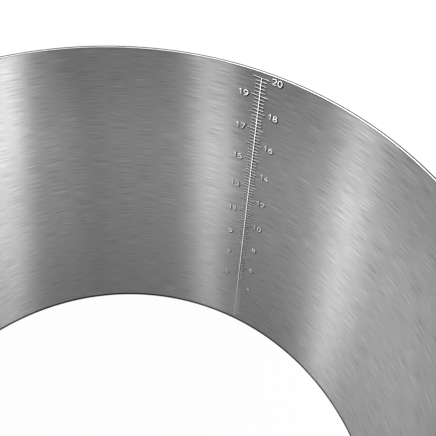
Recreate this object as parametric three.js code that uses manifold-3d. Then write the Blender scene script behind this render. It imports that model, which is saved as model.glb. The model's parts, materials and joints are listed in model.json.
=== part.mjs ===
// A tall cake ring: one long strip of brushed stainless steel rolled into a ring with overlapping ends.
// A closing rail is riveted up the strip's outer end, hooks over the rim and holds a cam lever.
// Pressing the lever down drives a shoe inwards, which clamps both turns against the rail's inner lip.
import * as THREE from "three";
import { mergeVertices } from "three/addons/utils/BufferGeometryUtils.js";
import Module from "manifold-3d";

const wasm = await Module();
wasm.setup();

// Driving dimensions, in millimetres and degrees. Angles run from the middle of the rail.

// Strip
const INNER_RADIUS = 140; // inside of the ring, half-way along the strip
const RING_HEIGHT = 203;
const SHEET = 1.2;
const OVERLAP = 40; // how far the two ends lie over each other
const TURN_GAP = 0.4; // air between the two turns
const STRIP_STEP = 2; // angle between two corners of the rolled strip

// Closing rail, bent from one strip of sheet
const RAIL_SHEET = 1.2;
const RAIL_HALF_ANGLE = 5;
const RAIL_FOOT = 1; // air below the rail, so that the ring stands on its own edge
const LIP_DEPTH = 24; // how far the inner lip reaches down from the rim
const END_INSET = 0.4; // angle by which the strip ends inside the rail's edge
const SEAT_GAP = 0.3; // air between the rail or shoe and the strip
const GRIP_REACH = 12; // finger flange turned outwards along the rail's edge
const GRIP_HEIGHT = 74;
const GRIP_FOOT = 34;

// Lever, pin and ears
const LEVER_WIDTH = 14;
const LEVER_LENGTH = 62;
const LEVER_SHEET = 2.4;
const LEVER_FLARE = 15; // length of the turned-out finger tip
const LEVER_CLEAR = 3; // air between the closed arm and the rail
const LEVER_SWING = 110;
const PIN_RADIUS = 2;
const PIN_DROP = 14; // pin below the rim
const PIN_STAND_OFF = 7.5; // pin axis in front of the rail
const PIN_HEAD_RADIUS = 3.4;
const PIN_HEAD = 1.2;
const PIN_PLAY = 0.15; // running gap round the pin
const CAM_RADIUS = 6.4;
const CAM_RISE = 0.9; // how far the cam lets the shoe back when the lever is open
const EAR_SHEET = 1.2;
const EAR_HALF_HEIGHT = 7;
const EAR_ROUND = 4.6; // radius of the ear round the pin
const SIDE_PLAY = 0.4; // air between lever and ears

// Shoe
const SHOE_WIDTH = 11;
const SHOE_HEIGHT = 12;
const SHOE_GAP = 0.3; // air round the shoe in its window

// Rivets
const RIVET_ROWS = 3;
const RIVET_ANGLE = 2.6; // each side of the rail's middle
const RIVET_FOOT = 16; // lowest row above the base
const RIVET_BELOW_LEVER = 10; // highest row below the lever's tip
const RIVET_SHANK = 1.5;
const RIVET_HEAD_RADIUS = 3;
const RIVET_HEAD = 1.3;
const RIVET_TAIL_RADIUS = 2.3; // countersunk end, flush inside the outer turn
const RIVET_RECESS = 0.1; // tail below the face of the turn, so that the inner turn slides past it
const RIVET_PLAY = 0.2;

// Places worked out from the driving dimensions
const PITCH = SHEET + TURN_GAP;
const SWEEP = 360 + OVERLAP;
const END_ANGLE = RAIL_HALF_ANGLE - END_INSET;
const LEG_INSIDE = stripRadius(END_ANGLE + 360) + SHEET + SEAT_GAP;
const LEG_OUTSIDE = LEG_INSIDE + RAIL_SHEET;
const LIP_OUTSIDE = stripRadius(-RAIL_HALF_ANGLE) - SEAT_GAP;
const LIP_INSIDE = LIP_OUTSIDE - RAIL_SHEET;
const WEB_FOOT = RING_HEIGHT + SEAT_GAP;
const WEB_TOP = WEB_FOOT + RAIL_SHEET;
const PIN_OUT = LEG_OUTSIDE + PIN_STAND_OFF;
const PIN_UP = RING_HEIGHT - PIN_DROP;
const EAR_INSIDE = LEVER_WIDTH / 2 + SIDE_PLAY;
const EAR_OUTSIDE = EAR_INSIDE + EAR_SHEET;
const CAM_LOW = CAM_RADIUS - CAM_RISE;
const SHOE_OUTSIDE = PIN_OUT - CAM_RADIUS - SEAT_GAP;
const TIP_OUT = LEVER_FLARE / 2; // outermost point of the lever's tip, from the pin
const FRONT_REACH = PIN_OUT + TIP_OUT;
const BACK_REACH = stripRadius(180) + SHEET;

const ROUND_SIDES = 32;
const RAIL_STEPS = 6;

const steel = (color, roughness) =>
  new THREE.MeshStandardMaterial({ color, roughness, metalness: 1 });
const BRUSHED = steel(0xb4b4b2, 0.38);
const PRESSED = steel(0xbcbcba, 0.3);
const POLISHED = steel(0xc8c8c6, 0.2);

const radians = (degrees) => (degrees * Math.PI) / 180;
const turned = (radius, angle) =>
  new THREE.Vector2(radius * Math.cos(radians(angle)), radius * Math.sin(radians(angle)));

// Inside radius of the strip at an angle from the rail. One turn later, at angle + 360, it is one pitch wider.
function stripRadius(angle) {
  const travel = angle - (END_ANGLE + 360 - SWEEP);
  return INNER_RADIUS + (PITCH * (travel - SWEEP / 2)) / 360;
}

// A closed geometry as a solid that can be joined and cut.
function solidOf(geometry) {
  const bare = geometry.clone();
  bare.deleteAttribute("normal");
  bare.deleteAttribute("uv");
  const merged = mergeVertices(bare, 1e-4);
  return new wasm.Manifold(
    new wasm.Mesh({
      numProp: 3,
      vertProperties: merged.attributes.position.array,
      triVerts: new Uint32Array(merged.index.array),
    }),
  );
}

// A joined or cut solid as a geometry again.
function geometryOf(solid) {
  const mesh = solid.getMesh();
  const geometry = new THREE.BufferGeometry();
  geometry.setAttribute("position", new THREE.BufferAttribute(mesh.vertProperties, 3));
  geometry.setIndex(new THREE.BufferAttribute(mesh.triVerts, 1));
  return geometry;
}

function extruded(shape, depth) {
  return new THREE.ExtrudeGeometry(shape, { depth, bevelEnabled: false, curveSegments: 8 });
}

// A section drawn outwards and up, carried round the ring's axis from one angle to another.
function bentRound(shape, from, to, steps) {
  const geometry = new THREE.ExtrudeGeometry(shape, {
    depth: to - from,
    steps,
    bevelEnabled: false,
    curveSegments: 4,
  });
  const places = geometry.getAttribute("position");
  for (let i = 0; i < places.count; i++) {
    const flat = turned(places.getX(i), to - places.getZ(i));
    places.setXYZ(i, flat.x, flat.y, places.getY(i));
  }
  return geometry;
}

// A plate that stands in the plane of "outwards" and "up", centred across that plane.
function standingPlate(shape, width) {
  return extruded(shape, width)
    .rotateX(Math.PI / 2)
    .translate(0, width / 2, 0);
}

function roundHole(radius) {
  return new THREE.Path().absarc(0, 0, radius, 0, 2 * Math.PI, true);
}

// The strip seen from above: its inner face from end to end, and back along its outer face.
function stripOutline() {
  const steps = Math.round(SWEEP / STRIP_STEP);
  const inner = [];
  const outer = [];
  for (let i = 0; i <= steps; i++) {
    const angle = END_ANGLE + 360 - SWEEP + (SWEEP * i) / steps;
    inner.push(turned(stripRadius(angle), angle));
    outer.push(turned(stripRadius(angle) + SHEET, angle));
  }
  return new THREE.Shape([...outer, ...inner.reverse()]);
}

// Half section of a rivet, from its flush countersunk tail to its domed head, out along a radius of the ring.
function rivetSection(angle) {
  const tail = stripRadius(angle + 360) + RIVET_RECESS;
  const underHead = LEG_OUTSIDE + SEAT_GAP;
  const points = [
    new THREE.Vector2(0, tail),
    new THREE.Vector2(RIVET_TAIL_RADIUS, tail),
    new THREE.Vector2(RIVET_SHANK, tail + RIVET_TAIL_RADIUS - RIVET_SHANK),
    new THREE.Vector2(RIVET_SHANK, underHead),
  ];
  const domeSteps = 5;
  for (let i = 0; i < domeSteps; i++) {
    const lift = (Math.PI / 2) * (i / domeSteps);
    points.push(
      new THREE.Vector2(RIVET_HEAD_RADIUS * Math.cos(lift), underHead + RIVET_HEAD * Math.sin(lift)),
    );
  }
  points.push(new THREE.Vector2(0, underHead + RIVET_HEAD));
  return points;
}

// Half section of the hole that a rivet needs: countersunk from the air between the turns, then straight.
function rivetHoleSection(angle) {
  const face = stripRadius(angle + 360);
  const wide = RIVET_TAIL_RADIUS + RIVET_PLAY;
  const narrow = RIVET_SHANK + RIVET_PLAY;
  const coneFoot = face + RIVET_RECESS;
  return [
    new THREE.Vector2(0, face - TURN_GAP / 2),
    new THREE.Vector2(wide, face - TURN_GAP / 2),
    new THREE.Vector2(wide, coneFoot),
    new THREE.Vector2(narrow, coneFoot + wide - narrow),
    new THREE.Vector2(narrow, LEG_OUTSIDE + SEAT_GAP),
    new THREE.Vector2(0, LEG_OUTSIDE + SEAT_GAP),
  ];
}

function rivetPlaces() {
  const places = [];
  const top = PIN_UP - LEVER_LENGTH - RIVET_BELOW_LEVER;
  for (let row = 0; row < RIVET_ROWS; row++) {
    const height = RIVET_FOOT + ((top - RIVET_FOOT) * row) / (RIVET_ROWS - 1);
    for (const angle of [-RIVET_ANGLE, RIVET_ANGLE]) places.push({ angle, height });
  }
  return places;
}

// A section turned about its own axis and laid along the ring's radius at a rivet's place.
function turnedAtRivet(section, place) {
  return new THREE.LatheGeometry(section, ROUND_SIDES / 2)
    .rotateZ(radians(place.angle - 90))
    .translate(0, 0, place.height);
}

function cutByRivets(solid) {
  let left = solid;
  for (const place of rivetPlaces()) {
    left = left.subtract(solidOf(turnedAtRivet(rivetHoleSection(place.angle), place)));
  }
  return left;
}

function bandGeometry() {
  return geometryOf(cutByRivets(solidOf(extruded(stripOutline(), RING_HEIGHT))));
}

// One ear beside the lever: a plate with a round outer end that holds the pin.
function earShape() {
  const root = LEG_INSIDE + RAIL_SHEET / 2;
  const shape = new THREE.Shape();
  shape.moveTo(root, -EAR_HALF_HEIGHT);
  shape.lineTo(PIN_OUT, -EAR_ROUND);
  shape.absarc(PIN_OUT, 0, EAR_ROUND, -Math.PI / 2, Math.PI / 2, false);
  shape.lineTo(root, EAR_HALF_HEIGHT);
  shape.closePath();
  const hole = new THREE.Path();
  hole.absarc(PIN_OUT, 0, PIN_RADIUS + PIN_PLAY, 0, 2 * Math.PI, true);
  shape.holes.push(hole);
  return shape;
}

// The rail's bent section, outwards and up: a leg outside both turns, a web over the rim and a lip inside.
function railSection() {
  const bend = RAIL_SHEET;
  const shape = new THREE.Shape();
  shape.moveTo(LEG_INSIDE, RAIL_FOOT);
  shape.lineTo(LEG_OUTSIDE, RAIL_FOOT);
  shape.lineTo(LEG_OUTSIDE, WEB_TOP - bend);
  shape.absarc(LEG_OUTSIDE - bend, WEB_TOP - bend, bend, 0, Math.PI / 2, false);
  shape.lineTo(LIP_INSIDE + bend, WEB_TOP);
  shape.absarc(LIP_INSIDE + bend, WEB_TOP - bend, bend, Math.PI / 2, Math.PI, false);
  shape.lineTo(LIP_INSIDE, RING_HEIGHT - LIP_DEPTH);
  shape.lineTo(LIP_OUTSIDE, RING_HEIGHT - LIP_DEPTH);
  shape.lineTo(LIP_OUTSIDE, WEB_FOOT);
  shape.lineTo(LEG_INSIDE, WEB_FOOT);
  shape.closePath();
  return shape;
}

// The finger flange, outwards and up: a plate that starts inside the leg, with rounded outer corners.
function gripSection() {
  const root = LEG_INSIDE + RAIL_SHEET / 2;
  const edge = LEG_OUTSIDE + GRIP_REACH;
  const top = GRIP_FOOT + GRIP_HEIGHT;
  const round = GRIP_REACH / 2;
  const shape = new THREE.Shape();
  shape.moveTo(root, GRIP_FOOT);
  shape.lineTo(edge - round, GRIP_FOOT);
  shape.absarc(edge - round, GRIP_FOOT + round, round, -Math.PI / 2, 0, false);
  shape.lineTo(edge, top - round);
  shape.absarc(edge - round, top - round, round, 0, Math.PI / 2, false);
  shape.lineTo(root, top);
  shape.closePath();
  return shape;
}

function railGeometry() {
  const gripWidth = THREE.MathUtils.radToDeg(RAIL_SHEET / LEG_OUTSIDE);
  const gripTo = RAIL_HALF_ANGLE - END_INSET / 4;
  const body = bentRound(railSection(), -RAIL_HALF_ANGLE, RAIL_HALF_ANGLE, RAIL_STEPS);
  const grip = bentRound(gripSection(), gripTo - gripWidth, gripTo, 1);
  const window = new THREE.BoxGeometry(
    2 * PIN_STAND_OFF,
    SHOE_WIDTH + 2 * SHOE_GAP,
    SHOE_HEIGHT + 2 * SHOE_GAP,
  ).translate(LIP_OUTSIDE + SEAT_GAP + PIN_STAND_OFF, 0, PIN_UP);
  let rail = solidOf(body).subtract(solidOf(window)).add(solidOf(grip));
  for (const side of [-1, 1]) {
    const ear = standingPlate(earShape(), EAR_SHEET);
    ear.translate(0, side * (EAR_INSIDE + EAR_SHEET / 2), PIN_UP);
    rail = rail.add(solidOf(ear));
  }
  return geometryOf(cutByRivets(rail));
}

// The lever seen from the side, about its pin: a cam that grows steadily towards the shoe, and a sheet arm
// that hangs down in front of the rail with its tip turned out.
function leverShape() {
  const armInside = LEVER_CLEAR - PIN_STAND_OFF;
  const armOutside = armInside + LEVER_SHEET;
  const flareTop = LEVER_FLARE - LEVER_LENGTH;
  const shape = new THREE.Shape();
  const camSteps = 14;
  for (let i = 0; i <= camSteps; i++) {
    const share = i / camSteps;
    const point = turned(CAM_LOW + CAM_RISE * share, 180 - LEVER_SWING * (1 - share));
    if (i === 0) shape.moveTo(point.x, point.y);
    else shape.lineTo(point.x, point.y);
  }
  const armRoot = -Math.sqrt(CAM_RADIUS ** 2 - armInside ** 2);
  const armRootOutside = -Math.sqrt(CAM_LOW ** 2 - armOutside ** 2);
  shape.absarc(0, 0, CAM_RADIUS, Math.PI, Math.atan2(armRoot, armInside) + 2 * Math.PI, false);
  shape.lineTo(armInside, flareTop);
  shape.quadraticCurveTo(armInside, -LEVER_LENGTH, TIP_OUT, -LEVER_LENGTH);
  shape.lineTo(TIP_OUT, LEVER_SHEET - LEVER_LENGTH);
  shape.quadraticCurveTo(armOutside, LEVER_SHEET - LEVER_LENGTH, armOutside, flareTop);
  shape.lineTo(armOutside, armRootOutside);
  shape.absarc(
    0,
    0,
    CAM_LOW,
    Math.atan2(armRootOutside, armOutside),
    radians(180 - LEVER_SWING),
    false,
  );
  shape.holes.push(roundHole(PIN_RADIUS + PIN_PLAY));
  return shape;
}

// The pin: a straight shank with a flat head outside each ear.
function pinGeometry() {
  const shankEnd = EAR_OUTSIDE + PIN_PLAY;
  const headEnd = shankEnd + PIN_HEAD;
  const section = [
    [0, -headEnd],
    [PIN_HEAD_RADIUS, -headEnd],
    [PIN_HEAD_RADIUS, -shankEnd],
    [PIN_RADIUS, -shankEnd],
    [PIN_RADIUS, shankEnd],
    [PIN_HEAD_RADIUS, shankEnd],
    [PIN_HEAD_RADIUS, headEnd],
    [0, headEnd],
  ];
  const points = section.map(([radius, along]) => new THREE.Vector2(radius, along));
  return new THREE.LatheGeometry(points, ROUND_SIDES);
}

function named(name, geometry, material) {
  const mesh = new THREE.Mesh(geometry, material);
  mesh.name = name;
  return mesh;
}

// The ring's own axis is Z of this group, with the rail on its X side. The group is turned to bring the rail
// to the front and moved back, so that the origin is the middle of the footprint.
const ring = new THREE.Group();
ring.rotation.z = -Math.PI / 2;
ring.position.y = (FRONT_REACH - BACK_REACH) / 2;

ring.add(named("band", bandGeometry(), BRUSHED));
ring.add(named("clamp_rail", railGeometry(), PRESSED));

const clamp = new THREE.Group();
clamp.position.set(PIN_OUT, 0, PIN_UP);
ring.add(clamp);
clamp.add(named("cam_lever", standingPlate(leverShape(), LEVER_WIDTH), PRESSED));
clamp.add(named("lever_pin", pinGeometry(), POLISHED));

const shoeDepth = SHOE_OUTSIDE - LEG_INSIDE;
const shoe = named("clamp_shoe", new THREE.BoxGeometry(shoeDepth, SHOE_WIDTH, SHOE_HEIGHT), POLISHED);
shoe.position.set(LEG_INSIDE + shoeDepth / 2, 0, PIN_UP);
ring.add(shoe);

rivetPlaces().forEach((place, index) => {
  const geometry = turnedAtRivet(rivetSection(place.angle), place);
  ring.add(named(`rail_rivet_${index + 1}`, geometry, POLISHED));
});

const part = new THREE.Group();
part.add(ring);

export default part;
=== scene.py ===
import json

import bpy
import numpy as np
from mathutils import Matrix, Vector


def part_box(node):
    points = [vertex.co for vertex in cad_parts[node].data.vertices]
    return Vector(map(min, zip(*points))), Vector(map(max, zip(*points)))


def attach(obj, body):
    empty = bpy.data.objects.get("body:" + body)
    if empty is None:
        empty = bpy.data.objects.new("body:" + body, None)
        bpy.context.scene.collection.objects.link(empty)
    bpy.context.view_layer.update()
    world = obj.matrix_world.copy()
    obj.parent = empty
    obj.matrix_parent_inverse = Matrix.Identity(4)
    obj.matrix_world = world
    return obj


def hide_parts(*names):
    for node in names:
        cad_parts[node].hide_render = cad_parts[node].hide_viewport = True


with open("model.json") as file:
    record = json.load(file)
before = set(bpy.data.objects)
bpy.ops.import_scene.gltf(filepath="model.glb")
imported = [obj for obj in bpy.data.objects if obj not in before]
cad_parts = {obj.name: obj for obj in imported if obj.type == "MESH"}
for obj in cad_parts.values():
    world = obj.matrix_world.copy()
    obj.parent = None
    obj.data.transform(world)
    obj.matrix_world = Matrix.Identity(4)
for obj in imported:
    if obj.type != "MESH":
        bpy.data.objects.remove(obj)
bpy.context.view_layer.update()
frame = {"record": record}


# Band
# One strip of stainless sheet, brushed along its length and deburred along its edges. It is rolled up into a
# ring a little over one turn long, so that its two ends lie over each other under the closing rail.
MM = 0.001
AXIS_Y = 8.66 * MM  # the ring's axis: the origin is the middle of the footprint, lever included
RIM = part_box("band")[1].z
SHEET = 1.2 * MM
INNER_RADIUS = 140 * MM  # half-way along the strip
TURN_PITCH = 1.6 * MM  # sheet and air from one turn to the next
STRIP_START = np.radians(-125.4)  # angle of the inner end, from +X
STRIP_SWEEP = np.radians(400)
EDGE_ROUND = 0.1 * MM
CORNER_ROUND = 8 * MM
BAND_STATIONS = 801
WALL_ROWS = 24
BRUSHED_STEEL = "#989898"
STREAK_THICK = 0.16 * MM  # a little coarser than real brush lines, so that they show
STREAK_LONG = 12 * MM
STREAK_MEAN = 0.5  # of the streak noise
STREAK_SPREAD = 0.25  # of the streak noise, to either side of its mean
STREAK_GROWTH = 12.0
DARK_STREAK = 0.67  # share of the steel's own tone
BRIGHT_STREAK = 1.33
GLOSSY_STREAK = 0.32  # roughness
DULL_STREAK = 0.44
UPRIGHT_SPREAD = -0.75  # reflections spread across the streaks
FOOT_SHADE = 120 * MM  # painted shade: the wall is darker towards both edges of the strip
FOOT_SHADE_TONE = 0.78
TOP_SHADE = 60 * MM
TOP_SHADE_TONE = 0.77
FOOT_LINE = 2.8 * MM  # painted shade: a dark line along the foot
FOOT_LINE_TONE = 0.1
TOP_LINE = 0.8 * MM  # the same painted shade below the rim, but narrower and fainter
TOP_LINE_TONE = 0.7
# Painted highlight along the rim, and painted shade at its outer corner and on the foot edges.
PAINTED_EDGE_HIGHLIGHT = "#F0F0F0"
PAINTED_EDGE_SHADE = "#202020"
PAINTED_RIM_SHADE = 0.72 * MM  # width of the painted shade line along the rim's outer corner
EDGE_ROUGHNESS = 0.36


def linear(code):
    """An sRGB hex colour as linear red, green, blue and alpha."""
    share = np.array([int(code[i : i + 2], 16) for i in (1, 3, 5)]) / 255
    light = np.where(share > 0.04045, ((share + 0.055) / 1.055) ** 2.4, share / 12.92)
    return (*light.tolist(), 1.0)


def add_node(tree, kind, settings=None, inputs=None):
    """A node of that kind: settings are its own properties, inputs are values or the sockets linked to it."""
    node = tree.nodes.new(kind)
    for name, value in (settings or {}).items():
        setattr(node, name, value)
    for name, value in (inputs or {}).items():
        if isinstance(value, bpy.types.NodeSocket):
            tree.links.new(value, node.inputs[name])
        else:
            node.inputs[name].default_value = value
    return node


def new_material(name):
    """A material with an empty node tree."""
    material = bpy.data.materials.new(name)
    material.use_nodes = True
    material.node_tree.nodes.clear()
    return material, material.node_tree


def new_piece(name, *shells):
    """An object at the origin whose mesh holds those shells, each given as points, quads and flat caps."""
    points, quads, caps, count = [], [], [], 0
    for corners, sides, ends in shells:
        points.append(corners)
        quads += (sides + count).tolist()
        caps += [(end + count).tolist() for end in ends]
        count += len(corners)
    mesh = bpy.data.meshes.new(name)
    mesh.from_pydata(np.concatenate(points), [], quads + caps)
    mesh.polygons.foreach_set("use_smooth", [True] * len(quads) + [False] * len(caps))
    piece = bpy.data.objects.new(name, mesh)
    bpy.context.collection.objects.link(piece)
    return piece


def carried_profile(points):
    """A closed profile carried along a path: points[i, j] is profile point j at station i. Four neighbours
    make a quad, the profile closes on itself and a flat cap closes each end. The corners' triple products,
    summed over the quads, are negative where the faces point inwards, and then the stations are taken the
    other way round."""
    stations, around = points.shape[:2]
    index = np.arange(stations * around).reshape(stations, around)
    after = np.roll(index, -1, axis=1)
    quads = np.stack([index[:-1], after[:-1], after[1:], index[1:]], axis=-1).reshape(-1, 4)
    centred = (points - points.mean((0, 1))).reshape(-1, 3)
    a, b, c, d = (centred[quads[:, corner]] for corner in range(4))
    if (np.cross(a, b) * c + np.cross(a, c) * d).sum() < 0:
        return carried_profile(points[::-1])
    return points.reshape(-1, 3), quads, [index[0, ::-1], index[-1]]


def strip_radius(angle):
    """Inside radius of the strip: it grows by one pitch in each turn and is INNER_RADIUS half-way along."""
    return INNER_RADIUS + TURN_PITCH * (angle - STRIP_START - STRIP_SWEEP / 2) / (2 * np.pi)


def quarter_turn(count):
    """That many angles spread evenly over a quarter turn."""
    return np.linspace(0, np.pi / 2, count)


def rounded_box(width, height, rounding, rows):
    """Outline of a rounded rectangle from (0, 0) to (width, height): a quarter circle at each corner, and the
    long sides split into rows, the first and last of them close to the corners to keep these sides flat. It
    runs down the x = width side and up the x = 0 side."""
    quarter = quarter_turn(5)
    rise, run = rounding * np.sin(quarter), rounding * np.cos(quarter)
    low, high = rounding, height - rounding
    left, right = rounding, width - rounding
    inset = rounding / 4
    along = np.linspace(low + inset, high - inset, rows)
    outer_top = np.stack([right + rise, high + run], 1)
    outer_side = np.stack([np.full(rows, width), along[::-1]], 1)
    outer_foot = np.stack([right + run, low - rise], 1)
    inner_foot = np.stack([left - rise, low - run], 1)
    inner_side = np.stack([np.zeros(rows), along], 1)
    inner_top = np.stack([left - run, high + rise], 1)
    return np.concatenate([outer_top, outer_side, outer_foot, inner_foot, inner_side, inner_top])


def distance_round(section):
    """Distance along a closed outline to each of its points, and back to the first."""
    closed = np.concatenate([section, section[:1]])
    return np.concatenate([[0], np.cumsum(np.hypot(*np.diff(closed, axis=0).T))])


def rolled_strip(section):
    """The sheet's section carried along a spiral. Near each end the section gets lower at top and foot by the
    drop of a quarter circle, which rounds the strip's four corners."""
    angle = STRIP_START + np.linspace(0, STRIP_SWEEP, BAND_STATIONS)
    along = INNER_RADIUS * (angle - STRIP_START)
    to_end = np.clip(np.minimum(along, along[-1] - along), 0, CORNER_ROUND)
    drop = CORNER_ROUND - np.sqrt(CORNER_ROUND**2 - (CORNER_ROUND - to_end) ** 2)
    radius = strip_radius(angle)[:, None] + section[None, :, 0]
    height = drop[:, None] + section[None, :, 1] * (1 - 2 * drop[:, None] / RIM)
    x = radius * np.cos(angle)[:, None]
    y = AXIS_Y + radius * np.sin(angle)[:, None]
    lengths = np.stack(np.broadcast_arrays(distance_round(section)[None, :], along[:, None]), axis=-1)
    return np.stack([x, y, height], axis=-1), lengths


sheet_section = rounded_box(SHEET, RIM, EDGE_ROUND, WALL_ROWS)
strip_points, lengths = rolled_strip(sheet_section)
band = new_piece("brushed_band", carried_profile(strip_points))
# Places on the surface are lengths round the section and along the strip. Its edges have their own material,
# with a painted highlight and painted shade.
quad_uv = np.stack([lengths[:-1, :-1], lengths[:-1, 1:], lengths[1:, 1:], lengths[1:, :-1]], axis=2)
cap_uv = np.concatenate([lengths[0, -2::-1], lengths[-1, :-1]])
surface = band.data.uv_layers.new(name="surface")
surface.data.foreach_set("uv", np.concatenate([quad_uv.reshape(-1, 2), cap_uv]).astype(np.float32).ravel())
next_point = np.roll(sheet_section, -1, axis=0)
on_edge = np.abs(next_point[:, 0] - sheet_section[:, 0]) > 0.01 * EDGE_ROUND
material_index = np.zeros(len(band.data.polygons), np.int32)
material_index[:-2] = np.tile(on_edge, BAND_STATIONS - 1)
band.data.polygons.foreach_set("material_index", material_index)

# Stainless sheet brushed with a belt: fine streaks along the strip spread every reflection up and down the
# wall, so light shows as upright bands crossed by short bright and dark lines.
steel, tree = new_material("brushed_sheet_steel")
place = add_node(tree, "ShaderNodeTexCoord")
stretch = add_node(
    tree,
    "ShaderNodeMapping",
    inputs={"Vector": place.outputs["UV"], "Scale": (1 / STREAK_THICK, 1 / STREAK_LONG, 1)},
)
noise = add_node(
    tree,
    "ShaderNodeTexNoise",
    {"noise_dimensions": "2D"},
    {"Vector": stretch.outputs["Vector"], "Scale": 1.0, "Detail": 2.0, "Roughness": 0.6},
)
# A few streaks stand out from the many faint ones: the noise, less its mean, grows with its own square.
part = add_node(
    tree,
    "ShaderNodeMath",
    {"operation": "SUBTRACT"},
    {0: noise.outputs["Fac"], 1: STREAK_MEAN},
).outputs[0]
square = add_node(tree, "ShaderNodeMath", {"operation": "MULTIPLY"}, {0: part, 1: part}).outputs[0]
growth = add_node(
    tree,
    "ShaderNodeMath",
    {"operation": "MULTIPLY_ADD"},
    {0: square, 1: STREAK_GROWTH, 2: 1.0},
).outputs[0]
streaks = add_node(tree, "ShaderNodeMath", {"operation": "MULTIPLY"}, {0: part, 1: growth}).outputs[0]
grade = {"Value": streaks, "From Min": -STREAK_SPREAD, "From Max": STREAK_SPREAD}
tone = add_node(
    tree,
    "ShaderNodeMapRange",
    {"clamp": False},
    {**grade, "To Min": DARK_STREAK, "To Max": BRIGHT_STREAK},
)
gloss = add_node(
    tree,
    "ShaderNodeMapRange",
    inputs={**grade, "To Min": GLOSSY_STREAK, "To Max": DULL_STREAK},
)
height = add_node(tree, "ShaderNodeSeparateXYZ", inputs={"Vector": place.outputs["Object"]})
height_graded_tone = tone.outputs["Result"]
# Painted shade: the tone darkens towards the foot and the rim, with dark lines along both.
for low, high, low_tone, high_tone in (
    (0, FOOT_SHADE, FOOT_SHADE_TONE, 1.0),
    (RIM - TOP_SHADE, RIM, 1.0, TOP_SHADE_TONE),
    (FOOT_LINE / 2, FOOT_LINE, FOOT_LINE_TONE, 1.0),
    (RIM - TOP_LINE, RIM - TOP_LINE / 2, 1.0, TOP_LINE_TONE),
):
    fade = add_node(
        tree,
        "ShaderNodeMapRange",
        {"interpolation_type": "SMOOTHSTEP"},
        {
            "Value": height.outputs["Z"],
            "From Min": low,
            "From Max": high,
            "To Min": low_tone,
            "To Max": high_tone,
        },
    )
    height_graded_tone = add_node(
        tree,
        "ShaderNodeMath",
        {"operation": "MULTIPLY"},
        {0: height_graded_tone, 1: fade.outputs["Result"]},
    ).outputs[0]
shade = add_node(
    tree,
    "ShaderNodeMix",
    {"data_type": "RGBA", "blend_type": "MULTIPLY"},
    {"Factor": 1.0, "A": linear(BRUSHED_STEEL), "B": height_graded_tone},
)
upright = add_node(tree, "ShaderNodeTangent", {"direction_type": "UV_MAP", "uv_map": "surface"})
shader = add_node(
    tree,
    "ShaderNodeBsdfAnisotropic",
    inputs={
        "Color": shade.outputs["Result"],
        "Roughness": gloss.outputs["Result"],
        "Anisotropy": UPRIGHT_SPREAD,
        "Tangent": upright.outputs["Tangent"],
    },
)
add_node(tree, "ShaderNodeOutputMaterial", inputs={"Surface": shader.outputs["BSDF"]})
band.data.materials.append(steel)

# Sheared edge, deburred: a painted highlight along the rim, with painted shade along its outer corner and on
# the foot edges.
edge, tree = new_material("painted_highlight_sheet_edge")
place = add_node(tree, "ShaderNodeTexCoord")
across = add_node(tree, "ShaderNodeSeparateXYZ", inputs={"Vector": place.outputs["UV"]})
length_round = distance_round(sheet_section)[-1]
rim_from = length_round - SHEET + 2 * EDGE_ROUND
rim_to = length_round + EDGE_ROUND - PAINTED_RIM_SHADE
rises = add_node(
    tree,
    "ShaderNodeMapRange",
    inputs={"Value": across.outputs["X"], "From Min": rim_from - EDGE_ROUND, "From Max": rim_from},
)
falls = add_node(
    tree,
    "ShaderNodeMapRange",
    inputs={
        "Value": across.outputs["X"],
        "From Min": rim_to - EDGE_ROUND / 2,
        "From Max": rim_to + EDGE_ROUND / 2,
        "To Min": 1.0,
        "To Max": 0.0,
    },
)
bright = add_node(
    tree,
    "ShaderNodeMath",
    {"operation": "MULTIPLY"},
    {0: rises.outputs["Result"], 1: falls.outputs["Result"]},
)
shade = add_node(
    tree,
    "ShaderNodeMix",
    {"data_type": "RGBA"},
    {"Factor": bright.outputs[0], "A": linear(PAINTED_EDGE_SHADE), "B": linear(PAINTED_EDGE_HIGHLIGHT)},
)
shader = add_node(
    tree,
    "ShaderNodeBsdfPrincipled",
    inputs={"Base Color": shade.outputs["Result"], "Metallic": 1.0, "Roughness": EDGE_ROUGHNESS},
)
add_node(tree, "ShaderNodeOutputMaterial", inputs={"Surface": shader.outputs["BSDF"]})
band.data.materials.append(edge)
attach(band, "ring")
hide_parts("band")


# Height scale
# A centimetre scale etched into the inner wall: one upright line from the base, short ticks every 2 mm, long
# ticks at each centimetre, even numbers to the right and odd ones to the left, in single-stroke figures.
# Beside each mark, shifted to its lower right, a narrow dark margin is a painted shadow.
SCALE_ANGLE = np.radians(80.12)
SCALE_LEAN = 0.0084  # how far the scale leans out of plumb, to the right going down
SCALE_FOOT = 4 * MM
SCALE_TOP = 200 * MM
TICK_STEP = 2 * MM
TICKS_PER_NUMBER = 5
NUMBER_STEP = 10 * MM
FIRST_NUMBER = 4
MAIN_LINE = (0.18 * MM, 0.42 * MM, 0.2 * MM)  # at the foot, at the broadest place and at the top
BROADEST = 80 * MM
TICK_LINE = 0.24 * MM
DIGIT_LINE = 0.39 * MM
SHORT_TICK = 2.6 * MM  # from the upright line to each side
LONG_TICK = 4 * MM
TICK_TILT = 0.06  # the ticks drop a little to the right
DIGIT_SCALE = (3.5 * MM, 3.1 * MM)  # unit of the figures below, across and up
DIGIT_MIDDLE = (0.31, 0.5)  # of a figure, in that unit
DIGIT_ADVANCE = 0.76  # from one figure to the next, in that unit
RIGHT_LABEL = (7.35 * MM, 0.2 * MM)  # middle of an even number from the upright line and from its tick
LEFT_LABEL = (-7.9 * MM, -0.7 * MM)  # middle of an odd number
PAINTED_SHADOW_WIDE = 0.45 * MM  # painted shadow, to each side of a mark
PAINTED_SHADOW_SHIFT = (0.22 * MM, -0.22 * MM)  # of that painted shadow from its mark, to the right and up
MARK_PROUD = 0.04 * MM
PAINTED_SHADOW_PROUD = 0.02 * MM
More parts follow.
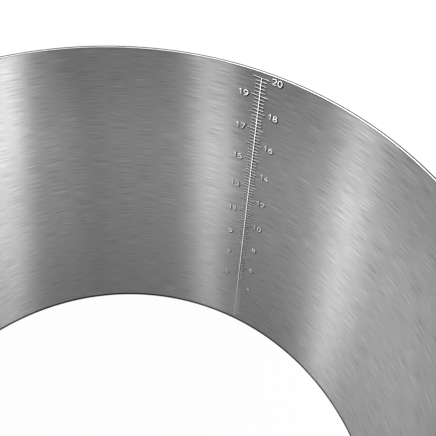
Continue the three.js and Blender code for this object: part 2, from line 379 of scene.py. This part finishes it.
MARK_THICK = 0.06 * MM
ETCHED_DARK = "#F0F0F0"
ETCHED_LIGHT = "#FFFFFF"
PAINTED_SHADOW_DARK = "#181818"
PAINTED_SHADOW_LIGHT = "#2C2C2C"
FROST_GRAIN = 0.6 * MM
FROST_ROUGHNESS = 0.8
FOOT_MARK_GREY = "#B4B4B4"  # marks near the foot are faint
FADE_BELOW = 30 * MM
FOOT_MARK_SHARE = 0.35  # share of a mark's own tone that is left there
WHOLE_ABOVE = 50 * MM


def arc(middle_x, middle_y, half_wide, half_tall, start, end):
    """Points on an ellipse from one angle to another, in degrees from +X."""
    turn = np.radians(np.linspace(start, end, 19))
    return np.stack([middle_x + half_wide * np.cos(turn), middle_y + half_tall * np.sin(turn)], 1)


def figure_strokes(digit):
    """The strokes of one figure in a box 0.62 wide and 1 tall: straight runs and parts of ellipses."""
    six = [arc(0.31, 0.31, 0.27, 0.31, 0, 360), arc(0.58, 0.33, 0.54, 0.66, 97, 180)]
    return {
        "0": [arc(0.31, 0.5, 0.27, 0.5, 0, 360)],
        "1": [np.array([[0.12, 0.76], [0.38, 1.0], [0.38, 0.0]])],
        "2": [np.concatenate([arc(0.31, 0.72, 0.27, 0.28, 165, -35), [[0.04, 0.0], [0.58, 0.0]]])],
        "3": [np.concatenate([arc(0.3, 0.76, 0.24, 0.24, 150, -80), arc(0.3, 0.26, 0.27, 0.26, 80, -150)])],
        "4": [np.array([[0.44, 0.0], [0.44, 1.0], [0.04, 0.3], [0.6, 0.3]])],
        "5": [np.concatenate([[[0.53, 1.0], [0.13, 1.0]], arc(0.3, 0.32, 0.27, 0.32, 140, -150)])],
        "6": six,
        "7": [np.array([[0.05, 1.0], [0.57, 1.0], [0.22, 0.0]])],
        "8": [arc(0.31, 0.755, 0.22, 0.245, 0, 360), arc(0.31, 0.265, 0.27, 0.265, 0, 360)],
        "9": [[0.62, 1.0] - stroke for stroke in six],
    }[digit]


def ribbon(line, width):
    """A flat ribbon along a line of points: each point moves half the width to either side, along the mean of
    its neighbouring normals, lengthened so that the width holds through a corner."""
    closed = np.allclose(line[0], line[-1])
    run = np.diff(line, axis=0)
    normal = np.stack([-run[:, 1], run[:, 0]], 1) / np.hypot(run[:, 0], run[:, 1])[:, None]
    before = np.concatenate([normal[-1:] if closed else normal[:1], normal])
    after = np.concatenate([normal, normal[:1] if closed else normal[-1:]])
    mitre = (before + after) / np.maximum(1 + (before * after).sum(1), 0.5)[:, None]
    left, right = line + mitre * width / 2, line - mitre * width / 2
    first = np.arange(len(line) - 1)
    quads = np.stack([first + len(line), first + len(line) + 1, first + 1, first], 1)
    return np.concatenate([left, right]), quads


def etched_scale(margin):
    """All the marks as ribbons on the flattened wall, in (right, up) points from the scale's foot, each wider
    than its mark by the margin on both sides."""
    upright = np.array([[0, SCALE_FOOT], [0, BROADEST], [0, SCALE_TOP]])
    lines = [(upright, np.array(MAIN_LINE)[:, None])]
    for tick in range(round(SCALE_FOOT / TICK_STEP) + 1, round(SCALE_TOP / TICK_STEP) + 1):
        reach = SHORT_TICK if tick % TICKS_PER_NUMBER else LONG_TICK
        for side in (-1, 1):
            across = side * np.array([MAIN_LINE[-1] / 2, reach])
            lines.append((np.stack([across, tick * TICK_STEP - TICK_TILT * across], 1), TICK_LINE))
    for number in range(FIRST_NUMBER, round(SCALE_TOP / NUMBER_STEP) + 1):
        text = str(number)
        across, up = LEFT_LABEL if number % 2 else RIGHT_LABEL
        middle = [across, number * NUMBER_STEP + up]
        for place, digit in enumerate(text):
            shift = (place - (len(text) - 1) / 2) * DIGIT_ADVANCE - DIGIT_MIDDLE[0]
            for stroke in figure_strokes(digit):
                lines.append(((stroke + [shift, -DIGIT_MIDDLE[1]]) * DIGIT_SCALE + middle, DIGIT_LINE))
    return [ribbon(line, width + 2 * margin) for line, width in lines]


def on_inner_wall(flat, proud):
    """Points (right, up) of the flattened wall laid on the strip's inside at the scale and proud of it."""
    right = flat[:, 0] + SCALE_LEAN * (SCALE_TOP - flat[:, 1])
    angle = SCALE_ANGLE - right / INNER_RADIUS
    radius = strip_radius(angle) - proud
    return np.stack([radius * np.cos(angle), AXIS_Y + radius * np.sin(angle), flat[:, 1]], axis=-1)


def frosted_steel(name, dark, light):
    """Steel roughened by the beam: it scatters light every way, with a fine mottle between two tones that
    fades towards a grey near the foot. With dark tones it is the painted shadow beside the marks."""
    material, tree = new_material(name)
    place = add_node(tree, "ShaderNodeTexCoord")
    frost = add_node(
        tree,
        "ShaderNodeTexNoise",
        inputs={"Vector": place.outputs["Object"], "Scale": 1 / FROST_GRAIN, "Detail": 2.0},
    )
    shade = add_node(
        tree,
        "ShaderNodeMix",
        {"data_type": "RGBA"},
        {"Factor": frost.outputs["Fac"], "A": linear(dark), "B": linear(light)},
    )
    height = add_node(tree, "ShaderNodeSeparateXYZ", inputs={"Vector": place.outputs["Object"]})
    kept_share = add_node(
        tree,
        "ShaderNodeMapRange",
        inputs={
            "Value": height.outputs["Z"],
            "From Min": FADE_BELOW,
            "From Max": WHOLE_ABOVE,
            "To Min": FOOT_MARK_SHARE,
        },
    )
    height_graded_tone = add_node(
        tree,
        "ShaderNodeMix",
        {"data_type": "RGBA"},
        {"Factor": kept_share.outputs["Result"], "A": linear(FOOT_MARK_GREY), "B": shade.outputs["Result"]},
    )
    shader = add_node(
        tree,
        "ShaderNodeBsdfPrincipled",
        inputs={"Base Color": height_graded_tone.outputs["Result"], "Metallic": 1.0, "Roughness": FROST_ROUGHNESS},
    )
    add_node(tree, "ShaderNodeOutputMaterial", inputs={"Surface": shader.outputs["BSDF"]})
    return material


# Etched steel is frosted and looks pale and even beside the brushed wall. A dark margin beside each mark is a
# painted shadow.
for name, margin, shift, proud, dark, light in (
    ("etched_marks", 0, (0, 0), MARK_PROUD, ETCHED_DARK, ETCHED_LIGHT),
    ("painted_shadow_margin", PAINTED_SHADOW_WIDE, PAINTED_SHADOW_SHIFT, PAINTED_SHADOW_PROUD, PAINTED_SHADOW_DARK, PAINTED_SHADOW_LIGHT),
):
    ribbons = [(on_inner_wall(flat + shift, proud), quads, []) for flat, quads in etched_scale(margin)]
    marks = new_piece(name, *ribbons)
    depth = marks.modifiers.new("depth", "SOLIDIFY")
    depth.thickness = MARK_THICK
    marks.data.materials.append(frosted_steel(f"{name}_steel", dark, light))
    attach(marks, "ring")


# Closing rail
# Pressed from one piece of stainless sheet and riveted up the strip's outer end. It hooks over the rim with a
# lip inside, a window is cut for the shoe, and ears for the lever and a finger flange stand out from it.
RAIL_SHEET = 1.2 * MM
RAIL_MIDDLE = np.radians(-90)
RAIL_HALF_ANGLE = np.radians(5)
RAIL_FOOT = 1 * MM
RAIL_BEND = 1.2 * MM  # radius of every bend, at the middle of the sheet
RAIL_CORNER = 3 * MM
RAIL_STEP = 4 * MM
LIP_DEPTH = 24 * MM
SEAT_GAP = 0.3 * MM
WINDOW_WIDE = 11.6 * MM
WINDOW_TALL = 12.6 * MM
GRIP_ANGLE = np.radians(4.66)  # middle of the finger flange, from the middle of the rail
GRIP_REACH = 12.6 * MM
GRIP_FOOT = 34 * MM
GRIP_TOP = 108 * MM
GRIP_CORNER = 6 * MM
EAR_SIDE = 8 * MM  # middle of an ear, from the middle of the lever
EAR_HALF_TALL = 7 * MM
EAR_ROUND = 4.6 * MM
EAR_END = np.radians(80)  # just short of where the round end would close
EAR_FOOT = 1.8 * MM  # width of the tab that an ear is fixed by
DEBURRED = 0.2 * MM
SHARP_EDGE = np.radians(40)
PRESSED_STEEL = "#A2A2A2"
PRESSED_GRAIN = (0.3 * MM, 0.3 * MM, 9 * MM)  # rolling lines that run up the sheet, drawn coarse to show
GRAIN_LOW = 0.25  # of the grain noise
GRAIN_HIGH = 0.75
DARK_GRAIN = 0.86  # share of the steel's own tone
BRIGHT_GRAIN = 1.1
PIN_Y, PIN_Z = frame["record"]["behaviour"]["joints"][0]["pos_m"][1:]
PIN_OUT = AXIS_Y - PIN_Y  # from the ring's axis
leg_radius = strip_radius(STRIP_START + STRIP_SWEEP) + SHEET + SEAT_GAP + RAIL_SHEET / 2
lip_radius = strip_radius(RAIL_MIDDLE - RAIL_HALF_ANGLE) - SEAT_GAP - RAIL_SHEET / 2
web_height = RIM + SEAT_GAP + RAIL_SHEET / 2


def steps_between(marks, step):
    """Values that take in all the marks, with steps of about that size from one mark to the next."""
    runs = [np.linspace(a, b, int(np.ceil((b - a) / step)) + 1)[:-1] for a, b in zip(marks[:-1], marks[1:])]
    return np.concatenate([*runs, marks[-1:]])


def corner_drop(to_edge, rounding):
    """How far a side has drawn in at a distance from the edge, where a quarter circle rounds the corner."""
    inside = rounding - np.clip(to_edge, 0, rounding)
    return rounding - np.sqrt(rounding**2 - inside**2)


def sheet_grid(points, keep=None):
    """Quads between the neighbours of a grid points[i, j], leaving out the cells where keep is False."""
    index = np.arange(points.shape[0] * points.shape[1]).reshape(points.shape[:2])
    quads = np.stack([index[:-1, :-1], index[:-1, 1:], index[1:, 1:], index[1:, :-1]], axis=-1)
    quads = quads.reshape(-1, 4) if keep is None else quads[keep]
    return points.reshape(-1, 3), quads


def joined_sheets(*grids):
    """One shell out of several grids: points that lie on the same spot become one, and unused ones go."""
    points = np.concatenate([corners[quads].reshape(-1, 3) for corners, quads in grids])
    spots, place = np.unique(np.round(points, 6), axis=0, return_inverse=True)
    return spots, place.reshape(-1, 4), []


def from_axis(out, side, up):
    """Points given outwards from the ring's axis towards the rail, sideways and up."""
    return np.stack(np.broadcast_arrays(side, AXIS_Y - out, up), axis=-1)


def turned_round_axis(out, side, angle):
    """Distances outwards and sideways after a turn about the ring's axis by that angle."""
    return out * np.cos(angle) - side * np.sin(angle), out * np.sin(angle) + side * np.cos(angle)


def rail_sheet():
    """The middle of the rail's sheet: a path up the leg, over the web and down the lip, with quarter circles
    at the bends, carried round the ring's axis. The cells of the window and beside the finger flange are cut
    out."""
    bend = quarter_turn(7)
    top = web_height - RAIL_BEND
    window = PIN_Z + WINDOW_TALL * np.array([-0.5, 0.5])
    leg = steps_between([RAIL_FOOT, GRIP_FOOT, GRIP_TOP, *window, top], RAIL_STEP)
    lip = steps_between([RIM - LIP_DEPTH, top], RAIL_STEP)[::-1]
    radius = np.concatenate(
        [
            np.full(len(leg), leg_radius),
            (leg_radius - RAIL_BEND + RAIL_BEND * np.cos(bend))[1:],
            lip_radius + RAIL_BEND - RAIL_BEND * np.sin(bend),
            np.full(len(lip) - 1, lip_radius),
        ]
    )
    up = np.concatenate([leg, (top + RAIL_BEND * np.sin(bend))[1:], top + RAIL_BEND * np.cos(bend), lip[1:]])
    corner = RAIL_CORNER / leg_radius
    half_window = WINDOW_WIDE / 2 / leg_radius
    bend_from = GRIP_ANGLE - RAIL_BEND / leg_radius
    angle = steps_between(
        [-RAIL_HALF_ANGLE, corner - RAIL_HALF_ANGLE, -half_window, half_window, bend_from, RAIL_HALF_ANGLE],
        corner / 4,
    )
    drop = corner_drop((RAIL_HALF_ANGLE - np.abs(angle)) * leg_radius, RAIL_CORNER)
    on_leg = np.arange(len(up)) < len(leg)
    foot = np.where(on_leg, RAIL_FOOT, RIM - LIP_DEPTH)
    share = np.clip(1 - (up - foot) / (4 * RAIL_CORNER), 0, 1)
    height = up[:, None] + share[:, None] * drop[None, :]
    points = from_axis(radius[:, None] * np.cos(angle), radius[:, None] * np.sin(angle), height)
    cell_up = ((up[:-1] + up[1:]) / 2)[:, None]
    cell_angle = ((angle[:-1] + angle[1:]) / 2)[None, :]
    in_window = (np.abs(cell_up - PIN_Z) < WINDOW_TALL / 2) & (np.abs(cell_angle) < half_window)
    by_grip = (cell_up > GRIP_FOOT) & (cell_up < GRIP_TOP) & (cell_angle > bend_from)
    return sheet_grid(points, ~(on_leg[:-1, None] & (in_window | by_grip)))


def finger_flange():
    """The middle of the flange's sheet: a quarter circle out of the leg, then straight out, carried up the
    rail with rounded outer corners."""
    bend = quarter_turn(7)
    straight = steps_between([RAIL_BEND, GRIP_REACH - GRIP_CORNER, GRIP_REACH], GRIP_CORNER / 6)[1:]
    side = np.concatenate([RAIL_BEND * np.sin(bend), np.full(len(straight), RAIL_BEND)]) - RAIL_BEND
    out = leg_radius + np.concatenate([RAIL_BEND - RAIL_BEND * np.cos(bend), straight])
    drop = corner_drop(leg_radius + GRIP_REACH - out, GRIP_CORNER)
    middle = (GRIP_FOOT + GRIP_TOP) / 2
    up = steps_between([GRIP_FOOT, GRIP_TOP], RAIL_STEP) - middle
    height = middle + up[:, None] * (1 - drop / (GRIP_TOP - middle))
    return sheet_grid(from_axis(*turned_round_axis(out, side, GRIP_ANGLE), height))


def lever_ear(hand):
    """The middle of an ear's sheet: a tab along the leg, a quarter circle, then straight out, as tall as the
    ear is there: it tapers down to the pin and ends in a half circle round it."""
    bend = quarter_turn(7)
    seat = leg_radius + RAIL_SHEET
    root = seat + RAIL_BEND
    tab = EAR_SIDE + RAIL_BEND + np.linspace(EAR_FOOT, 0, 4)
    bend_side = EAR_SIDE + RAIL_BEND - RAIL_BEND * np.sin(bend)
    bend_out = root - RAIL_BEND * np.cos(bend)
    straight = np.linspace(root, PIN_OUT, 5)[1:]
    round_end = PIN_OUT + EAR_ROUND * np.sin(np.linspace(0, EAR_END, 9)[1:])
    side = np.concatenate([tab, bend_side[1:], np.full(len(straight) + len(round_end), EAR_SIDE)])
    out = np.concatenate([np.sqrt(seat**2 - tab**2), bend_out[1:], straight, round_end])
    taper = np.clip((out - root) / (PIN_OUT - root), 0, 1)
    half_tall = EAR_HALF_TALL + (EAR_ROUND - EAR_HALF_TALL) * taper
    half_tall = half_tall * np.sqrt(1 - np.clip((out - PIN_OUT) / EAR_ROUND, 0, 1) ** 2)
    across = np.linspace(-1, 1, 7)
    return sheet_grid(from_axis(out, hand * side, PIN_Z + across[:, None] * half_tall))


def pressed_sheet(piece, thickness):
    """Gives a sheet its thickness, half to each side, and rounds its cut edges."""
    solid = piece.modifiers.new("thickness", "SOLIDIFY")
    solid.thickness = thickness
    solid.offset = 0
    deburred_edges(piece)


def deburred_edges(piece):
    """Rounds every sharp edge of a piece a little."""
    bevel = piece.modifiers.new("deburred_edges", "BEVEL")
    bevel.width = DEBURRED
    bevel.segments = 2
    bevel.limit_method = "ANGLE"
    bevel.angle_limit = SHARP_EDGE
    bevel.harden_normals = True


def plain_steel(name, colour, grain, dull, bright):
    """Bare steel with a grain of that size along X, Y and Z, which shifts its tone and gloss a little."""
    material, tree = new_material(name)
    place = add_node(tree, "ShaderNodeTexCoord")
    stretch = add_node(
        tree,
        "ShaderNodeMapping",
        inputs={"Vector": place.outputs["Object"], "Scale": tuple(1 / size for size in grain)},
    )
    lines = add_node(
        tree,
        "ShaderNodeTexNoise",
        inputs={"Vector": stretch.outputs["Vector"], "Scale": 1.0, "Detail": 3.0, "Roughness": 0.6},
    )
    grade = {"Value": lines.outputs["Fac"], "From Min": GRAIN_LOW, "From Max": GRAIN_HIGH}
    tone = add_node(
        tree,
        "ShaderNodeMapRange",
        inputs={**grade, "To Min": DARK_GRAIN, "To Max": BRIGHT_GRAIN},
    )
    gloss = add_node(tree, "ShaderNodeMapRange", inputs={**grade, "To Min": bright, "To Max": dull})
    shade = add_node(
        tree,
        "ShaderNodeMix",
        {"data_type": "RGBA", "blend_type": "MULTIPLY"},
        {"Factor": 1.0, "A": linear(colour), "B": tone.outputs["Result"]},
    )
    shader = add_node(
        tree,
        "ShaderNodeBsdfPrincipled",
        inputs={"Base Color": shade.outputs["Result"], "Metallic": 1.0, "Roughness": gloss.outputs["Result"]},
    )
    add_node(tree, "ShaderNodeOutputMaterial", inputs={"Surface": shader.outputs["BSDF"]})
    return material


rail = new_piece(
    "closing_rail",
    joined_sheets(rail_sheet(), finger_flange()),
    joined_sheets(lever_ear(1)),
    joined_sheets(lever_ear(-1)),
)
pressed_sheet(rail, RAIL_SHEET)
# Cold-rolled stainless sheet left as pressed: satin, with faint lines along the way it was rolled.
pressed = plain_steel("pressed_sheet_steel", PRESSED_STEEL, PRESSED_GRAIN, dull=0.4, bright=0.3)
rail.data.materials.append(pressed)
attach(rail, "ring")
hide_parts("clamp_rail")


# Rail rivets
# Solid stainless rivets in three rows of two, set from outside: domed heads on the rail and countersunk tails
# that are flush inside the outer turn, so that the inner turn slides past them.
RIVET_ANGLE = np.radians(2.6)
RIVET_SHANK = 1.5 * MM
RIVET_HEAD = 3 * MM
RIVET_DOME = 1.3 * MM
RIVET_TAIL = 2.3 * MM
RIVET_RECESS = 0.1 * MM
POLE = 0.02 * MM
TURNED_STEEL = "#B4B4B4"
TURNED_GRAIN = (0.5 * MM, 0.5 * MM, 0.5 * MM)
AROUND = np.linspace(0, 2 * np.pi, 49)[:-1]


def turned_piece(radius, along):
    """A half section turned about its own axis: points (along, across one way, across the other)."""
    across = np.asarray(radius)[:, None]
    along = np.asarray(along)[:, None]
    return np.stack(np.broadcast_arrays(along, across * np.cos(AROUND), across * np.sin(AROUND)), axis=-1)


def rivet(angle, height):
    """A rivet laid outwards: its half section has a cone for its tail and a quarter ellipse for its head."""
    dome = quarter_turn(9)
    seat = leg_radius + RAIL_SHEET / 2
    tail = strip_radius(RAIL_MIDDLE + 2 * np.pi + angle) + RIVET_RECESS
    radius = [POLE, RIVET_TAIL, RIVET_SHANK, RIVET_SHANK, *np.maximum(RIVET_HEAD * np.cos(dome), POLE)]
    along = [tail, tail, tail + RIVET_TAIL - RIVET_SHANK, seat, *(seat + RIVET_DOME * np.sin(dome))]
    out, side, up = np.moveaxis(turned_piece(radius, along), -1, 0)
    return from_axis(*turned_round_axis(out, side, angle), height + up)


# Turned or headed stainless, smooth from the die: brighter and glossier than the pressed sheet.
turned = plain_steel("turned_steel", TURNED_STEEL, TURNED_GRAIN, dull=0.3, bright=0.22)
for row in range(3):
    for column, angle in enumerate([-RIVET_ANGLE, RIVET_ANGLE]):
        number = 2 * row + column + 1
        low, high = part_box(f"rail_rivet_{number}")
        head = new_piece(f"domed_rivet_{number}", carried_profile(rivet(angle, (low.z + high.z) / 2)))
        deburred_edges(head)
        head.data.materials.append(turned)
        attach(head, "ring")
        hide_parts(f"rail_rivet_{number}")


# Clamp shoe
# A small steel block in the rail's window, which the cam drives against the two turns.
SHOE_ROUND = 1.2 * MM
SHOE_EDGE = 0.3 * MM


def rounded_ends(start, end, rounding):
    """Stations from start to end, and how far a quarter circle at both ends draws the outline in at each."""
    edge = quarter_turn(5)
    rise = rounding * (1 - np.cos(edge))
    inset = rounding * (1 - np.sin(edge))
    stations = np.concatenate([start + rise, end - rise[::-1]])
    return stations[:, None], np.concatenate([inset, inset[::-1]])[:, None]


def block_with_round_edges(low, high):
    """A rounded rectangle in the plane of side and up, carried outwards, with rounded ends."""
    wide, tall = high.x - low.x, high.z - low.z
    outline = rounded_box(wide, tall, SHOE_ROUND, 4) - [wide / 2, tall / 2]
    along, inset = rounded_ends(low.y, high.y, SHOE_EDGE)
    x = outline[:, 0] * (1 - 2 * inset / wide) + (low.x + high.x) / 2
    z = outline[:, 1] * (1 - 2 * inset / tall) + (low.z + high.z) / 2
    return np.stack(np.broadcast_arrays(x, along, z), axis=-1)


shoe = new_piece("clamp_block", carried_profile(block_with_round_edges(*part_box("clamp_shoe"))))
shoe.data.materials.append(turned)
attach(shoe, "shoe")
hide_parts("clamp_shoe")


# Cam lever
# Pressed from stainless sheet into a shallow channel with a groove down its face for stiffness. Its tip is
# turned out for a finger, and a cam sits across its upper end, round the pin.
LEVER_WIDE = 14 * MM
LEVER_DEEP = 2.4 * MM
LEVER_SHEET = 1.1 * MM
LEVER_LONG = 62 * MM
LEVER_ARM = -3.3 * MM  # middle of the arm, outwards from the pin
ARM_TOP = -2.5 * MM  # up from the pin
LEVER_FLARE = 15 * MM
TIP_OUT = 7.5 * MM
TIP_ROUND = 4 * MM
CHANNEL_ROUND = 1.6 * MM
GROOVE_DEEP = 0.5 * MM
GROOVE_HALF = 2.2 * MM
GROOVE_FROM = 14 * MM  # below the pin
GROOVE_TO = 40 * MM
CAM_WIDE = 13.6 * MM
CAM_HIGH = 6.4 * MM
CAM_LOW = 5.5 * MM
CAM_TURNS = (70, 180, 235, 300, 430)  # degrees round the pin from straight out, over the top
CAM_LIFTS = (0, 1, 1, 0, 0)  # share of the way from the low to the high radius, at each
CAM_EDGE = 0.5 * MM


def channel_section():
    """The channel's section, across and outwards: over the face with a quarter circle at both edges, and back
    along the inside, one sheet thickness further in."""
    bend = quarter_turn(7)
    face = np.linspace(-1, 1, 25)[1:-1] * (LEVER_WIDE / 2 - CHANNEL_ROUND)
    half_deep = LEVER_DEEP / 2
    outlines = []
    for thick in (0, LEVER_SHEET):
        rounding = CHANNEL_ROUND - thick
        corner = LEVER_WIDE / 2 - CHANNEL_ROUND
        level = half_deep - CHANNEL_ROUND
        across = corner + rounding * np.cos(bend)
        outwards = level + rounding * np.sin(bend)
        flank = [[LEVER_WIDE / 2 - thick, -half_deep]]
        right = np.concatenate([flank, np.stack([across, outwards], 1)])
        left = right[::-1] * [-1, 1]
        top = np.stack([face[::-1], np.full(len(face), half_deep - thick)], 1)
        outlines.append(np.concatenate([right, top, left]))
    return np.concatenate([outlines[0], outlines[1][::-1]])


def lever_arm():
    """The channel carried down the arm and along a parabola out to the tip. A groove with a bell-shaped
    section runs down the face, and a quarter circle narrows the tip."""
    section = channel_section()
    share = np.linspace(0, 1, 22)
    flare_top, tip = LEVER_FLARE - LEVER_LONG, LEVER_DEEP / 2 - LEVER_LONG
    straight = np.linspace(ARM_TOP, flare_top, 46)[:-1]
    out = np.concatenate([np.full(len(straight), LEVER_ARM), LEVER_ARM + (TIP_OUT - LEVER_ARM) * share**2])
    up = np.concatenate([straight, flare_top + (tip - flare_top) * (2 * share - share**2)])
    run = np.hypot(np.diff(out), np.diff(up))
    to_tip = np.concatenate([np.cumsum(run[::-1])[::-1], [0]])
    way = np.stack([np.gradient(out), np.gradient(up)], 1)
    way /= np.hypot(way[:, 0], way[:, 1])[:, None]
    narrow = 1 - corner_drop(to_tip, TIP_ROUND) / (LEVER_WIDE / 2)
    side = section[None, :, 0] * narrow[:, None]
    depth = np.clip((-up - GROOVE_FROM) / GROOVE_HALF, 0, 1) * np.clip((up + GROOVE_TO) / GROOVE_HALF, 0, 1)
    bell = np.exp(-((section[:, 0] / GROOVE_HALF) ** 2) * 2)
    raised = section[None, :, 1] - GROOVE_DEEP * depth[:, None] * bell
    outwards = PIN_OUT + out[:, None] - raised * way[:, 1, None]
    upwards = PIN_Z + up[:, None] + raised * way[:, 0, None]
    return from_axis(outwards, side, upwards)


def cam_barrel():
    """The cam round the pin: its radius grows steadily over the lever's swing towards the shoe and falls back
    behind the arm, and a quarter circle rounds both its ends."""
    turn = np.radians(np.linspace(CAM_TURNS[0], CAM_TURNS[-1], 97)[:-1])
    lift = np.interp(np.degrees(turn), CAM_TURNS, CAM_LIFTS)
    side, inset = rounded_ends(-CAM_WIDE / 2, CAM_WIDE / 2, CAM_EDGE)
    radius = CAM_LOW + (CAM_HIGH - CAM_LOW) * lift - inset
    return from_axis(PIN_OUT + radius * np.cos(turn), side, PIN_Z + radius * np.sin(turn))


lever = new_piece("pressed_lever", carried_profile(lever_arm()), carried_profile(cam_barrel()))
deburred_edges(lever)
lever.data.materials.append(pressed)
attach(lever, "lever")
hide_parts("cam_lever")


# Lever pin
# A steel pin through both ears and the cam, with a low domed head outside each ear.
PIN_RADIUS = 2 * MM
PIN_HEAD = 3.4 * MM
PIN_DOME = 0.6 * MM


def headed_pin():
    """The pin's half section, mirrored about the lever's middle: shank, underside of the head, its rim and a
    quarter of an ellipse over it, laid sideways."""
    dome = quarter_turn(9)
    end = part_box("lever_pin")[1].x
    under = EAR_SIDE + RAIL_SHEET / 2
    half_radius = np.array([PIN_RADIUS, PIN_HEAD, *np.maximum(PIN_HEAD * np.cos(dome), POLE)])
    half_along = np.array([under, under, *(end - PIN_DOME + PIN_DOME * np.sin(dome))])
    radius = np.concatenate([half_radius[::-1], half_radius])
    along = np.concatenate([-half_along[::-1], half_along])
    side, out, up = np.moveaxis(turned_piece(radius, along), -1, 0)
    return from_axis(PIN_OUT + out, side, PIN_Z + up)


pin = new_piece("headed_pin", carried_profile(headed_pin()))
deburred_edges(pin)
pin.data.materials.append(turned)
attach(pin, "ring")
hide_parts("lever_pin")


# Studio
# A plain white floor with white screens round it in a grey room, and strip lights that give the bands.
FLOOR_HALF = 6.0
FLOOR_LOW = -0.2 * MM
FLOOR_WHITE = "#F4F4F4"
FLOOR_GLOW = 0.97  # share of the floor's white that shadows don't reach
SCREEN_TOP = 2.6
CORNERS = ((-1, -1), (1, -1), (1, 1), (-1, 1))
ROOM_LIGHT = 0.4
LAMP_AWAY = 1.3
BACK_LAMP_AWAY = 1.6
floor_mesh = bpy.data.meshes.new("floor")
floor_mesh.from_pydata(
    [(x * FLOOR_HALF, y * FLOOR_HALF, z) for z in (FLOOR_LOW, SCREEN_TOP) for x, y in CORNERS],
    [],
    [(0, 1, 2, 3)] + [(side, (side + 1) % 4, (side + 1) % 4 + 4, side + 4) for side in range(4)],
)
floor = bpy.data.objects.new("floor", floor_mesh)
bpy.context.collection.objects.link(floor)
white, tree = new_material("white_floor")
ray = add_node(tree, "ShaderNodeLightPath")
seen = add_node(
    tree,
    "ShaderNodeMath",
    {"operation": "MAXIMUM"},
    {0: ray.outputs["Is Camera Ray"], 1: ray.outputs["Is Glossy Ray"]},
)
seen = add_node(
    tree,
    "ShaderNodeMath",
    {"operation": "MAXIMUM"},
    {0: seen.outputs[0], 1: ray.outputs["Is Transmission Ray"]},
)
share = add_node(tree, "ShaderNodeMath", {"operation": "MULTIPLY"}, {0: seen.outputs[0], 1: FLOOR_GLOW})
matt = add_node(tree, "ShaderNodeBsdfDiffuse", inputs={"Color": linear(FLOOR_WHITE)})
glow = add_node(tree, "ShaderNodeEmission", inputs={"Color": linear("#FFFFFF"), "Strength": 1.0})
both = add_node(
    tree,
    "ShaderNodeMixShader",
    inputs={0: share.outputs[0], 1: matt.outputs["BSDF"], 2: glow.outputs["Emission"]},
)
add_node(tree, "ShaderNodeOutputMaterial", inputs={"Surface": both.outputs["Shader"]})
floor.data.materials.append(white)

world = bpy.data.worlds.new("studio")
world.use_nodes = True
tree = world.node_tree
tree.nodes.clear()
sky = add_node(tree, "ShaderNodeBackground", inputs={"Color": linear("#FFFFFF"), "Strength": ROOM_LIGHT})
add_node(tree, "ShaderNodeOutputWorld", inputs={"Surface": sky.outputs["Background"]})
world.cycles.sampling_method = "NONE"
bpy.context.scene.world = world


def softbox(name, angle, lift, wide, tall, brightness, lean=0, distance=LAMP_AWAY):
    """An area light that faces the middle of the ring from that angle round it and that height above the
    horizon. Its upper end leans by that angle towards the right, seen from the ring."""
    lamp = bpy.data.lights.new(name, "AREA")
    lamp.shape = "RECTANGLE"
    lamp.size = wide
    lamp.size_y = tall
    lamp.energy = brightness * np.pi * wide * tall
    light = bpy.data.objects.new(name, lamp)
    light.visible_camera = False
    turn, up = np.radians(angle), np.radians(lift)
    place = Matrix.Translation((0, AXIS_Y, RIM / 2))
    facing = Matrix.Rotation(turn + np.pi / 2, 4, "Z") @ Matrix.Rotation(np.pi / 2 - up, 4, "X")
    away = Matrix.Translation((0, 0, distance)) @ Matrix.Rotation(np.radians(lean), 4, "Z")
    light.matrix_world = place @ facing @ away
    bpy.context.collection.objects.link(light)


softbox("near_strip", angle=-34, lift=40, wide=0.11, tall=0.9, brightness=45, lean=-35)
softbox("near_low_strip", angle=-50.5, lift=13, wide=0.11, tall=0.46, brightness=54, lean=-25)
softbox("near_tail", angle=-59, lift=29, wide=0.26, tall=0.7, brightness=3, lean=-18)
softbox("front_fill", angle=-84, lift=32, wide=0.5, tall=0.8, brightness=1.5)
softbox("left_strip", angle=-105.9, lift=41, wide=0.036, tall=0.26, brightness=148, lean=-8)
softbox("left_low_strip", angle=-108.6, lift=22, wide=0.042, tall=0.23, brightness=56)
softbox("left_fill", angle=-128, lift=32, wide=0.38, tall=0.8, brightness=2.3)
softbox("far_left_box", angle=-149, lift=40, wide=0.16, tall=0.25, brightness=48)
softbox("far_left_tail", angle=-181, lift=58, wide=0.42, tall=0.42, brightness=11)
softbox("back_right", angle=89, lift=45, wide=0.78, tall=0.8, brightness=2.8, distance=BACK_LAMP_AWAY)
softbox("back_left", angle=143, lift=45, wide=0.67, tall=0.8, brightness=2.8, distance=BACK_LAMP_AWAY)


# Camera
# It looks down over the near rim at the inner wall with the scale.
CAMERA_ANGLE = np.radians(-55.06)
CAMERA_OUT = 110.97 * MM
CAMERA_UP = 385.52 * MM
LOOK_ANGLE = np.radians(109.09)
LOOK_DOWN = np.radians(50.876)
SENSOR = 36.0
IMAGE_SIZE = 436
FOCAL_PIXELS = 667.3
OPTICAL_CENTRE = (174.9, 218.55)
lens = bpy.data.cameras.new("camera")
lens.sensor_width = SENSOR
lens.lens = FOCAL_PIXELS * SENSOR / IMAGE_SIZE
lens.shift_x = 0.5 - OPTICAL_CENTRE[0] / IMAGE_SIZE
lens.shift_y = OPTICAL_CENTRE[1] / IMAGE_SIZE - 0.5
lens.clip_start = 10 * MM
camera = bpy.data.objects.new("camera", lens)
camera.location = (
    CAMERA_OUT * np.cos(CAMERA_ANGLE),
    AXIS_Y + CAMERA_OUT * np.sin(CAMERA_ANGLE),
    CAMERA_UP,
)
camera.rotation_euler = (np.pi / 2 - LOOK_DOWN, 0, LOOK_ANGLE - np.pi / 2)
bpy.context.collection.objects.link(camera)
bpy.context.scene.camera = camera
bpy.context.scene.view_settings.view_transform = "Standard"
